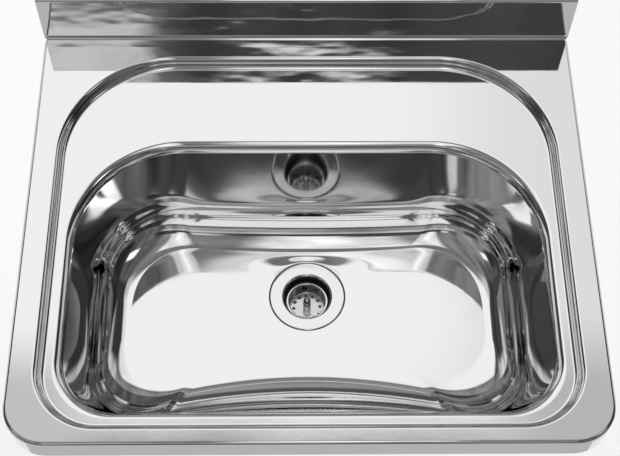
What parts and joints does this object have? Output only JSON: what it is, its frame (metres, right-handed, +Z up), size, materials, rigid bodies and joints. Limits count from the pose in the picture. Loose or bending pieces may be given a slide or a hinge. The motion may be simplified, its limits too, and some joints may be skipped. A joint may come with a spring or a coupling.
{
  "type": "hand wash basin",
  "caption": "Wall-hung stainless hand wash basin pressed from one sheet, with a splash upstand, recessed tap ledge, basket waste with lift-out strainer and wall brackets.",
  "frame": {"origin": "middle of the four wall screw holes, on the wall plane", "axes": "+Y into the wall, +Z up, +X to the right as seen from in front"},
  "size_m": [0.5, 0.42, 0.2575],
  "materials": {
    "polished_sheet": "mirror-polished stainless steel sheet",
    "turned_steel": "polished stainless steel",
    "plated_steel": "bright zinc-plated steel",
    "black_rubber": "matt moulded rubber",
    "white_nylon": "moulded nylon",
    "nut_brass": "machined brass"
  },
  "bodies": {
    "basin": {"basin_pressing": "polished_sheet", "wall_bracket_left": "plated_steel", "wall_bracket_right": "plated_steel", "deck_studs": "turned_steel", "stud_washers": "plated_steel", "spring_washers": "plated_steel", "stud_nuts": "plated_steel", "waste_body": "turned_steel", "flange_seal": "black_rubber", "lower_gasket": "black_rubber", "slip_washer": "white_nylon", "back_nut": "nut_brass"},
    "strainer": {"strainer_cup": "turned_steel", "cup_seal": "black_rubber", "strainer_post": "turned_steel", "strainer_knob": "turned_steel", "post_washer": "turned_steel", "post_nut": "turned_steel"}
  },
  "joints": [
    {"name": "strainer_lift", "type": "slide", "parent": "basin", "child": "strainer", "axis": [0, 0, 1], "range_m": [0, 0.25]}
  ]
}
